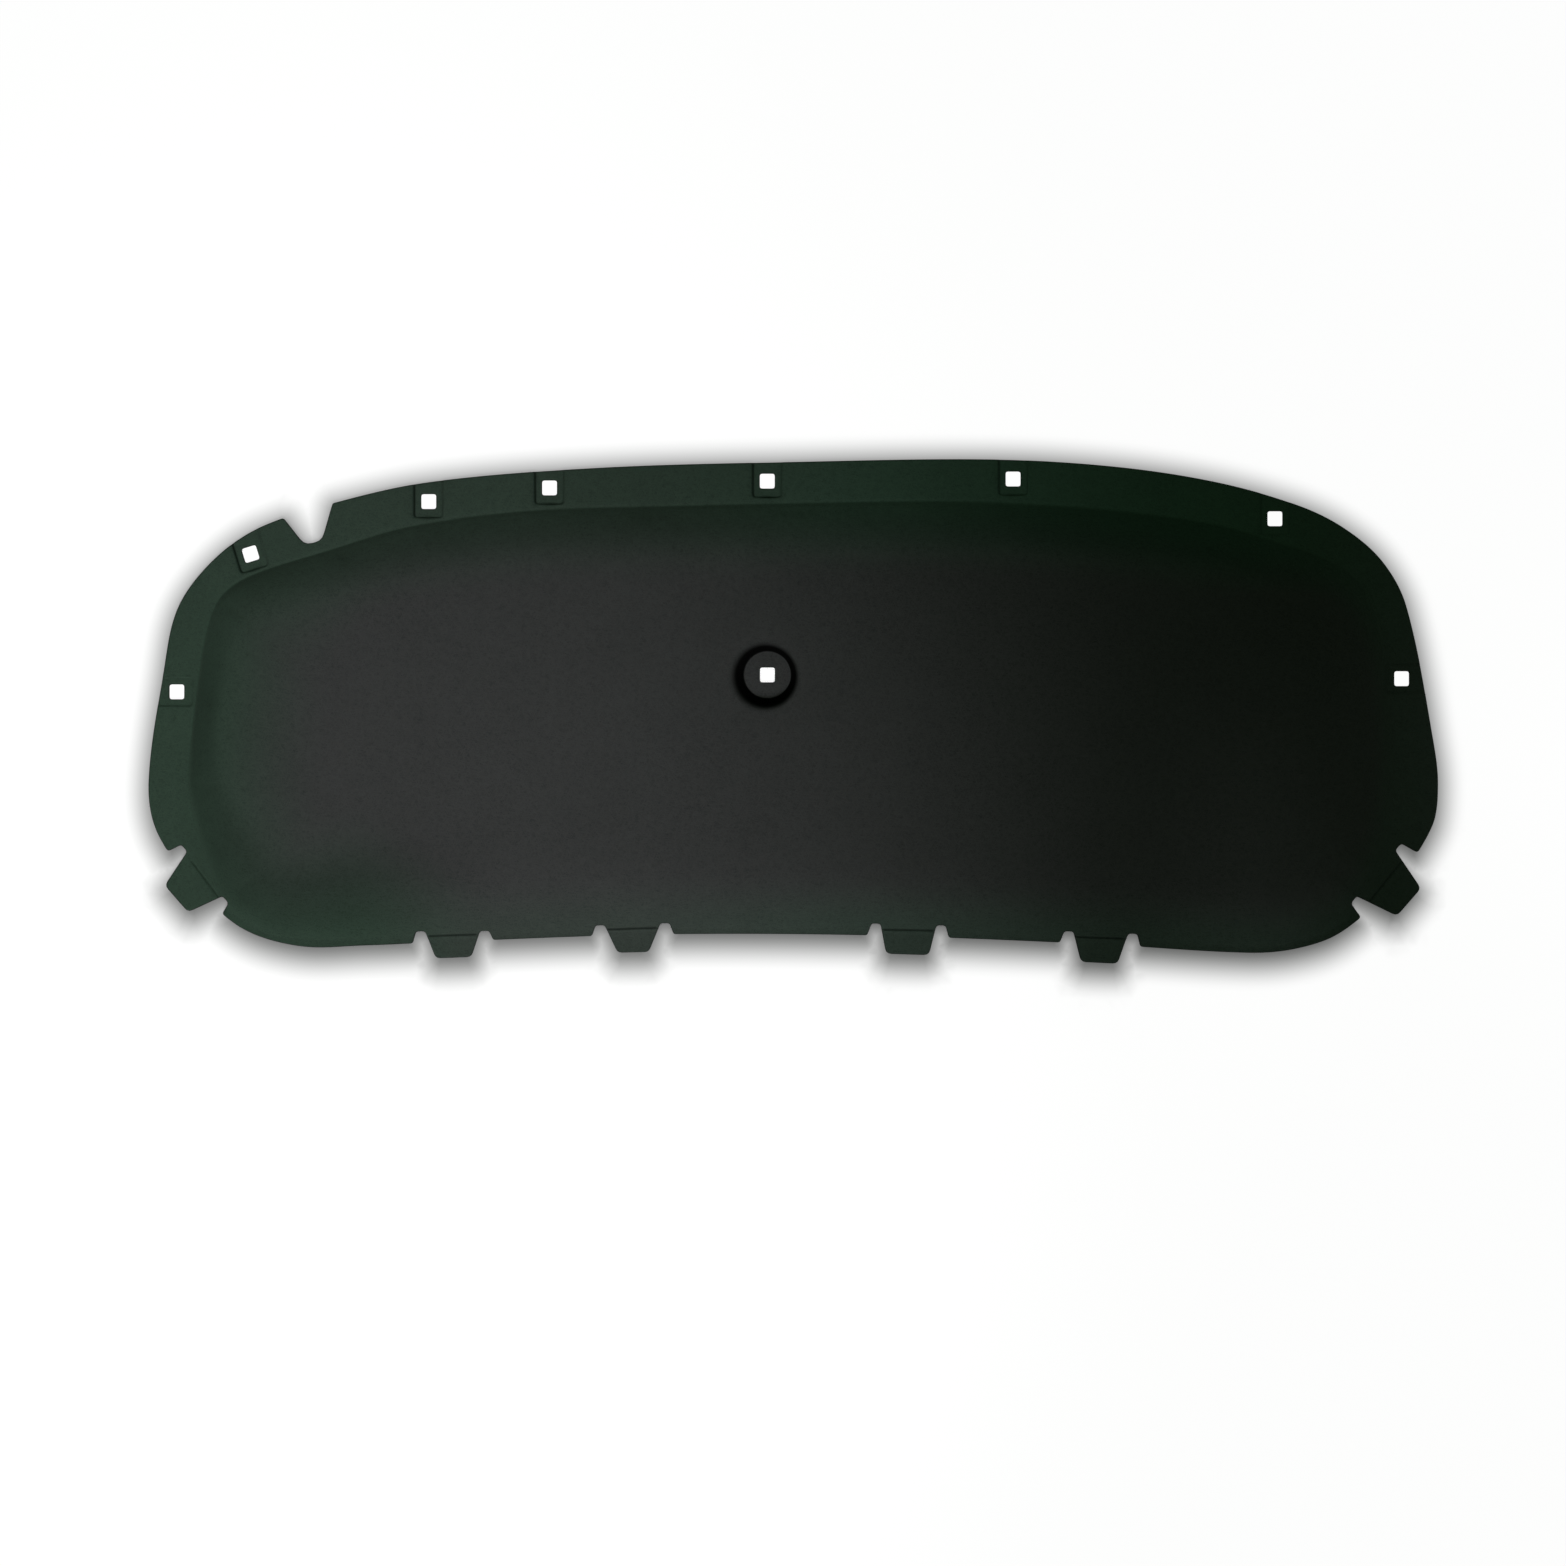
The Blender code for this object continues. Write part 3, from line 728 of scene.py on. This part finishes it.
def fibre_layer(tree, place, turn, scale):
    """Thin fibres that run one way across the face: the middle lines of noise stretched along them."""
    turned = tree.nodes.new("ShaderNodeMapping")
    turned.vector_type = "TEXTURE"
    turned.inputs["Rotation"].default_value = (0.0, 0.0, math.radians(turn))
    turned.inputs["Scale"].default_value = (FIBRE_STRETCH, 1.0, 1.0)
    tree.links.new(place, turned.inputs["Vector"])
    streaks = add_node(
        tree, "ShaderNodeTexNoise", Vector=turned.outputs[0], Scale=scale, Detail=1.0, Roughness=0.4
    )
    off_line = maths(tree, "ABSOLUTE", maths(tree, "SUBTRACT", streaks.outputs["Fac"], 0.5))
    line = maths(tree, "SUBTRACT", 1.0, maths(tree, "MULTIPLY", off_line, FIBRE_THINNESS))
    return maths(tree, "MAXIMUM", line, 0.0)


def mottle(tree, place, scale, detail, roughness):
    """Soft noise that mottles a surface, in patches of about one part in scale of a metre."""
    node = add_node(
        tree, "ShaderNodeTexNoise", Vector=place, Scale=scale, Detail=detail, Roughness=roughness
    )
    return node.outputs["Fac"]


def topmost(tree, layers):
    """The highest of several layers, joined two at a time."""
    while len(layers) > 1:
        layers = [maths(tree, "MAXIMUM", *layers[:2])] + layers[2:]
    return layers[0]


def fibre_material(name):
    material = bpy.data.materials.new(name)
    material.use_nodes = True
    tree = material.node_tree
    place = tree.nodes.new("ShaderNodeTexCoord").outputs["Object"]
    return material, tree, tree.nodes["Principled BSDF"], place


def attribute(tree, name):
    node = tree.nodes.new("ShaderNodeAttribute")
    node.attribute_name = name
    return node.outputs["Fac"]


def face_finish():
    material, tree, shader, place = fibre_material("nonwoven_face")
    pressed = attribute(tree, "pressed")
    plain = attribute(tree, "plain")
    layers = [fibre_layer(tree, place, turn, FIBRES_PER_METRE) for turn in FIBRE_TURNS]
    fibres = topmost(tree, layers)
    clumps = mottle(tree, place, scale=150.0, detail=4.0, roughness=0.65)
    clouds = mottle(tree, place, scale=16.0, detail=3.0, roughness=0.55)
    punches = tree.nodes.new("ShaderNodeTexVoronoi")
    punches.inputs["Scale"].default_value = 420.0
    tree.links.new(place, punches.inputs["Vector"])

    # Towards the right end the rim is greener and painted lighter: partly tinge, partly painted light.
    rim = colour_between(tree, attribute(tree, "rim_tinge_and_painted_light"), RIM_COLOUR, RIM_COLOUR_TINGE_AND_LIGHT)
    base = colour_between(tree, plain, rim, FACE_COLOUR)
    shade = LEAST_SHADE
    for layer, share in ((fibres, FIBRE_SHADE), (clumps, CLUMP_SHADE), (clouds, CLOUD_SHADE)):
        shade = maths(tree, "ADD", shade, maths(tree, "MULTIPLY", layer, share))
    # The painted shade darkens the colour and takes away specular and sheen.
    painted_dark = maths(tree, "MULTIPLY", attribute(tree, "painted_shade"), PAINTED_SHADE_STRENGTH)
    unshaded_share = maths(tree, "SUBTRACT", 1.0, painted_dark)
    shade = maths(tree, "MULTIPLY", shade, unshaded_share)
    grey = tree.nodes.new("ShaderNodeCombineColor")
    for socket in grey.inputs[:3]:
        tree.links.new(shade, socket)
    colour = colour_between(tree, 1.0, base, grey.outputs[0], "MULTIPLY")
    tree.links.new(colour, shader.inputs["Base Color"])

    rough = maths(tree, "SUBTRACT", FACE_ROUGHNESS, maths(tree, "MULTIPLY", pressed, PRESSED_SMOOTHING))
    rough = maths(tree, "SUBTRACT", rough, maths(tree, "MULTIPLY", fibres, FIBRE_SMOOTHING))
    tree.links.new(rough, shader.inputs["Roughness"])
    specular = maths(tree, "MULTIPLY", unshaded_share, FACE_SPECULAR)
    tree.links.new(specular, shader.inputs["Specular IOR Level"])
    tree.links.new(maths(tree, "MULTIPLY", unshaded_share, FACE_SHEEN), shader.inputs["Sheen Weight"])
    shader.inputs["Sheen Roughness"].default_value = 0.55

    relief = maths(tree, "MULTIPLY", fibres, FIBRE_RELIEF)
    relief = maths(tree, "ADD", relief, maths(tree, "MULTIPLY", clumps, CLUMP_RELIEF))
    punch = maths(tree, "MULTIPLY", punches.outputs["Distance"], PUNCH_RELIEF)
    relief = maths(tree, "ADD", relief, punch)
    left_relief = maths(tree, "SUBTRACT", 1.0, maths(tree, "MULTIPLY", pressed, PRESSED_RELIEF_LOSS))
    relief = maths(tree, "MULTIPLY", relief, left_relief)
    bump = add_node(tree, "ShaderNodeBump", Strength=0.75, Distance=0.00018, Height=relief)
    tree.links.new(bump.outputs[0], shader.inputs["Normal"])
    return material


def cut_finish():
    material, tree, shader, place = fibre_material("cut_fibre_edge")
    stacked = tree.nodes.new("ShaderNodeMapping")
    stacked.inputs["Scale"].default_value = (1.0, 1.0, 7.0)
    tree.links.new(place, stacked.inputs["Vector"])
    layers = mottle(tree, stacked.outputs[0], scale=420.0, detail=4.0, roughness=0.7)
    colour = colour_between(tree, layers, CUT_SHADOW, CUT_COLOUR)
    tree.links.new(colour, shader.inputs["Base Color"])
    shader.inputs["Roughness"].default_value = 0.93
    shader.inputs["Specular IOR Level"].default_value = 0.2
    bump = add_node(tree, "ShaderNodeBump", Strength=0.9, Distance=0.0005, Height=layers)
    tree.links.new(bump.outputs[0], shader.inputs["Normal"])
    return material


def back_finish():
    material, tree, shader, place = fibre_material("needled_back")
    layers = [fibre_layer(tree, place, turn, BACK_FIBRES_PER_METRE) for turn in BACK_FIBRE_TURNS]
    fibres = topmost(tree, layers)
    clumps = mottle(tree, place, scale=60.0, detail=5.0, roughness=0.7)
    both = maths(tree, "MULTIPLY", fibres, clumps)
    colour = colour_between(tree, maths(tree, "MULTIPLY", both, BACK_CONTRAST), BACK_SHADOW, BACK_COLOUR)
    tree.links.new(colour, shader.inputs["Base Color"])
    shader.inputs["Roughness"].default_value = 0.95
    shader.inputs["Specular IOR Level"].default_value = 0.2
    bump = add_node(tree, "ShaderNodeBump", Strength=0.8, Distance=0.0008, Height=both)
    tree.links.new(bump.outputs[0], shader.inputs["Normal"])
    return material


for finish in (face_finish(), cut_finish(), back_finish()):
    pad.data.materials.append(finish)
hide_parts("insulation_pad")
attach(pad, "root")


# The fuzz of the cut edge. The die leaves loose fibre ends standing out of the punched rim and of the
# clip holes. Geometry Nodes scatter them over the upper part of the cut, and they stay loose in the felt.
FUZZ_PER_AREA = 600000.0
FUZZ_LENGTH = 0.0012
FUZZ_RADIUS = 0.000035
FUZZ_SEED = 11
FUZZ_LOWEST = 0.0017
FUZZ_COLOUR = (0.0260, 0.0340, 0.0290, 1.0)
FUZZ_SHADOW = (0.0120, 0.0150, 0.0130, 1.0)
FUZZ_TILT = 1.25
FUZZ_SIZES = (0.35, 1.40)
# The start, middle and end of one bent fibre, as shares of its length.
FUZZ_BEND = {"Start": (0.0, 0.0, -0.25), "Middle": (0.1, 0.0, 0.55), "End": (0.65, 0.0, 0.80)}


def fuzz_finish():
    material, tree, shader, place = fibre_material("loose_fibre")
    speckle = add_node(tree, "ShaderNodeTexNoise", Vector=place, Scale=260.0, Detail=2.0).outputs["Fac"]
    colour = colour_between(tree, speckle, FUZZ_SHADOW, FUZZ_COLOUR)
    tree.links.new(colour, shader.inputs["Base Color"])
    shader.inputs["Roughness"].default_value = 0.8
    shader.inputs["Specular IOR Level"].default_value = 0.2
    return material


def fuzz_tree():
    """Bent three-sided fibres that stand on the faces of a mesh, at random tilts and sizes."""
    tree = bpy.data.node_groups.new("cut_edge_fuzz", "GeometryNodeTree")
    tree.interface.new_socket("Geometry", in_out="INPUT", socket_type="NodeSocketGeometry")
    for name in ("Fibres per area", "Length", "Radius"):
        tree.interface.new_socket(name, in_out="INPUT", socket_type="NodeSocketFloat")
    tree.interface.new_socket("Seed", in_out="INPUT", socket_type="NodeSocketInt")
    tree.interface.new_socket("Finish", in_out="INPUT", socket_type="NodeSocketMaterial")
    tree.interface.new_socket("Geometry", in_out="OUTPUT", socket_type="NodeSocketGeometry")
    given = tree.nodes.new("NodeGroupInput").outputs
    spots = add_node(
        tree, "GeometryNodeDistributePointsOnFaces",
        Mesh=given["Geometry"], Density=given["Fibres per area"], Seed=given["Seed"],
    )
    bend = add_node(tree, "GeometryNodeCurveQuadraticBezier", Resolution=2)
    for name, share in FUZZ_BEND.items():
        reach = tree.nodes.new("ShaderNodeVectorMath")
        reach.operation = "SCALE"
        reach.inputs[0].default_value = share
        tree.links.new(given["Length"], reach.inputs["Scale"])
        tree.links.new(reach.outputs[0], bend.inputs[name])
    round_fibre = add_node(tree, "GeometryNodeCurvePrimitiveCircle", Resolution=3, Radius=given["Radius"])
    fibre = add_node(
        tree, "GeometryNodeCurveToMesh", Curve=bend.outputs[0], Profile_Curve=round_fibre.outputs[0]
    )
    fibre.inputs["Fill Caps"].default_value = True
    tilt = tree.nodes.new("FunctionNodeRandomValue")
    tilt.data_type = "FLOAT_VECTOR"
    tilt.inputs[0].default_value = (-FUZZ_TILT, -FUZZ_TILT, -math.pi)
    tilt.inputs[1].default_value = (FUZZ_TILT, FUZZ_TILT, math.pi)
    tree.links.new(given["Seed"], tilt.inputs["Seed"])
    turn = tree.nodes.new("FunctionNodeRotateRotation")
    turn.rotation_space = "LOCAL"
    tree.links.new(spots.outputs["Rotation"], turn.inputs[0])
    leaned = add_node(tree, "FunctionNodeEulerToRotation", Euler=tilt.outputs[0])
    tree.links.new(leaned.outputs[0], turn.inputs[1])
    size = tree.nodes.new("FunctionNodeRandomValue")
    size.inputs[2].default_value, size.inputs[3].default_value = FUZZ_SIZES
    tree.links.new(given["Seed"], size.inputs["Seed"])
    placed = add_node(
        tree, "GeometryNodeInstanceOnPoints", Points=spots.outputs["Points"],
        Instance=fibre.outputs[0], Rotation=turn.outputs[0], Scale=size.outputs[1],
    )
    real = add_node(tree, "GeometryNodeRealizeInstances", Geometry=placed.outputs[0])
    coated = add_node(tree, "GeometryNodeSetMaterial", Geometry=real.outputs[0], Material=given["Finish"])
    tree.links.new(coated.outputs[0], tree.nodes.new("NodeGroupOutput").inputs[0])
    return tree


def grown(obj, tree, **settings):
    """The plain mesh that a Geometry Nodes tree makes on an object, which is then taken away."""
    modifier = obj.modifiers.new(tree.name, "NODES")
    modifier.node_group = tree
    for socket in tree.interface.items_tree:
        if socket.in_out == "INPUT" and socket.name in settings:
            modifier[socket.identifier] = settings[socket.name]
    bpy.context.view_layer.update()
    evaluated = obj.evaluated_get(bpy.context.evaluated_depsgraph_get())
    mesh = bpy.data.meshes.new_from_object(evaluated)
    bpy.data.objects.remove(obj)
    return mesh


cut_faces = faces[zones == 1]
cut_faces = cut_faces[vertices[cut_faces][:, :, 2].max(1) > FUZZ_LOWEST * 2]
upper_half = vertices.copy()
upper_half[:, 2] = np.maximum(upper_half[:, 2], FUZZ_LOWEST)
cut_strip = mesh_from("cut_strip", upper_half, cut_faces)
fuzz_mesh = grown(cut_strip, fuzz_tree(), **{
    "Fibres per area": FUZZ_PER_AREA, "Length": FUZZ_LENGTH, "Radius": FUZZ_RADIUS,
    "Seed": FUZZ_SEED, "Finish": fuzz_finish(),
})
fuzz = bpy.data.objects.new("edge_fuzz", fuzz_mesh)
bpy.context.scene.collection.objects.link(fuzz)
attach(fuzz, "root")


# The studio. The pad lies on a white table with a soft painted shadow round it, in a white room. One wide
# soft lamp lights the left half from the viewer's side, two weak ones lift the right rim and the lower
# right corner, and the camera hangs straight above.
TABLE_REACH = 7.0
TABLE_NET_STEP = 0.010
TABLE_NET_STRETCH = (1.15, 1.40)
TABLE_GRAIN = 0.0015
TABLE_COLOUR = (0.080, 0.080, 0.080, 1.0)
# Rows of table points round the rim and round each hole, by their distance from it.
RIM_SHADE_ROWS = np.arange(-0.012, 0.040, 0.004)
HOLE_SHADE_ROWS = (0.0020, 0.0045)
HOLE_LIGHT_REACH = 0.0100
# The painted shadow on the table: its shift and squeeze from the rim, its depth, and where it starts and
# ends.
SHADE_SHIFT = (0.0, 0.0056)
SHADE_SQUEEZE = (1.0030, 0.9925)
SHADE_DEPTH = 0.88
SHADE_START = -0.011
SHADE_END = 0.030
TABLE_GLOW = 0.975
ROOM_FILL = (0.090, 0.130, 0.082, 1.0)
CAMERA_PLACE = (-0.0096, -0.0663, 3.444)
CAMERA_LENS = 85.0

plain_rim = rim_line[::2]
shade_rows = [moved_in(plain_rim, -offset) for offset in RIM_SHADE_ROWS]
hole_rows = [moved_in(line, -offset) for line in hole_lines for offset in HOLE_SHADE_ROWS]
wide_net = net(TABLE_NET_STEP) * TABLE_NET_STRETCH
table_points = np.concatenate(shade_rows + hole_rows + [wide_net])
spread = np.round(table_points / TABLE_GRAIN).astype(int)
table_points = table_points[np.unique(spread, axis=0, return_index=True)[1]]
corners = TABLE_REACH * np.array([(-1, -1), (1, -1), (1, 1), (-1, 1)])
table_points = np.concatenate([corners, table_points])
table_faces = np.array(delaunay_2d_cdt([Vector(point) for point in table_points], [], [], 0, 1e-7)[2])
table = mesh_from("table", np.column_stack([table_points, np.zeros(len(table_points))]), table_faces)
# The table's painted shadow: darkest along the rim, fading outwards, and cleared round each hole.
from_shade = -depth_inside(table_points * SHADE_SQUEEZE + SHADE_SHIFT, rim_line)
shade = SHADE_DEPTH * (1 - smooth_step(SHADE_START, SHADE_END, from_shade))
for centre in hole_centres:
    shade[np.abs(table_points - centre).max(1) < HOLE_LIGHT_REACH] = 0.0
table.data.attributes.new("shade", "FLOAT", "POINT").data.foreach_set("value", shade.astype(np.float32))

table_finish, table_tree, table_shader, _ = fibre_material("white_table")
bright = maths(table_tree, "SUBTRACT", 1.0, attribute(table_tree, "shade"))
table_shader.inputs["Base Color"].default_value = TABLE_COLOUR
table_shader.inputs["Roughness"].default_value = 0.9
table_shader.inputs["Specular IOR Level"].default_value = 0.0
seen = table_tree.nodes.new("ShaderNodeLightPath")
lit = maths(table_tree, "MAXIMUM", seen.outputs["Is Camera Ray"], seen.outputs["Is Glossy Ray"])
lit = maths(table_tree, "MULTIPLY", maths(table_tree, "MULTIPLY", lit, TABLE_GLOW), bright)
table_shader.inputs["Emission Color"].default_value = (1.0, 1.0, 1.0, 1.0)
table_tree.links.new(lit, table_shader.inputs["Emission Strength"])
table.data.materials.append(table_finish)

world = bpy.data.worlds.new("room")
world.use_nodes = True
room_tree = world.node_tree
seen_room = room_tree.nodes.new("ShaderNodeLightPath").outputs["Is Camera Ray"]
room_colour = colour_between(room_tree, seen_room, ROOM_FILL, (1.0, 1.0, 1.0, 1.0))
room_tree.links.new(room_colour, room_tree.nodes["Background"].inputs["Color"])
bpy.context.scene.world = world


def soft_lamp(name, place, aim, size, power, spread):
    lamp = bpy.data.lights.new(name, "AREA")
    lamp.shape = "DISK"
    lamp.size = size
    lamp.energy = power
    lamp.spread = math.radians(spread)
    obj = bpy.data.objects.new(name, lamp)
    obj.location = place
    obj.rotation_euler = (Vector(aim) - Vector(place)).to_track_quat("-Z", "Y").to_euler()
    obj.visible_camera = False
    bpy.context.scene.collection.objects.link(obj)


soft_lamp(
    "left_lamp", place=(-0.40, -1.70, 1.75), aim=(-0.46, -0.285, 0.0),
    size=1.20, power=3.6, spread=19.9,
)
soft_lamp(
    "right_lamp", place=(1.00, -0.40, 1.60), aim=(0.79, -0.06, 0.0),
    size=0.30, power=0.045, spread=16.0,
)
soft_lamp(
    "corner_lamp", place=(0.43, -1.07, 0.464), aim=(0.43, -0.18, 0.01),
    size=0.16, power=0.0125, spread=9.0,
)

camera = bpy.data.cameras.new("overhead")
camera.lens = CAMERA_LENS
camera.clip_end = 50.0
camera_object = bpy.data.objects.new("overhead", camera)
camera_object.location = CAMERA_PLACE
bpy.context.scene.collection.objects.link(camera_object)
bpy.context.scene.camera = camera_object

bpy.context.scene.view_settings.view_transform = "Standard"
